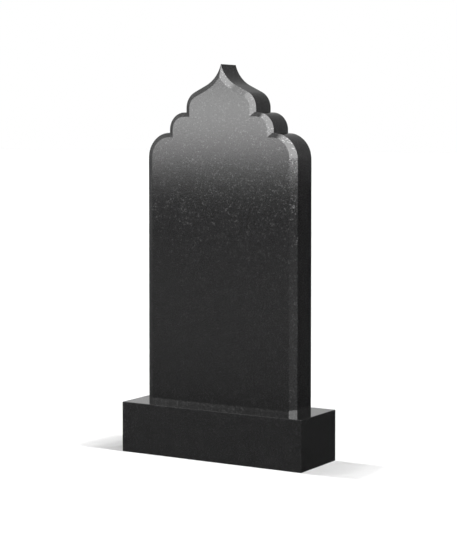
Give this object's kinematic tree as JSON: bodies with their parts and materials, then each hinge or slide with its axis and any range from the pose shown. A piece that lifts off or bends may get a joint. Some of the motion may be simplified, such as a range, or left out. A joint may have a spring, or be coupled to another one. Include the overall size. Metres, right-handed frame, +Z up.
{
  "type": "headstone",
  "caption": "Headstone in black polished stone: an upright slab with a scalloped crown rising to a pointed dome, its front edge chamfered, on a plain rectangular plinth.",
  "frame": {"origin": "centre of the plinth's underside, on the ground", "axes": "+Z up; the chamfered front faces -Y; +X to the right of someone facing the front"},
  "size_m": [0.6, 0.204, 1.134],
  "materials": {
    "stone": "polished"
  },
  "bodies": {
    "root": {"plinth": "stone", "slab": "stone"}
  },
  "joints": []
}
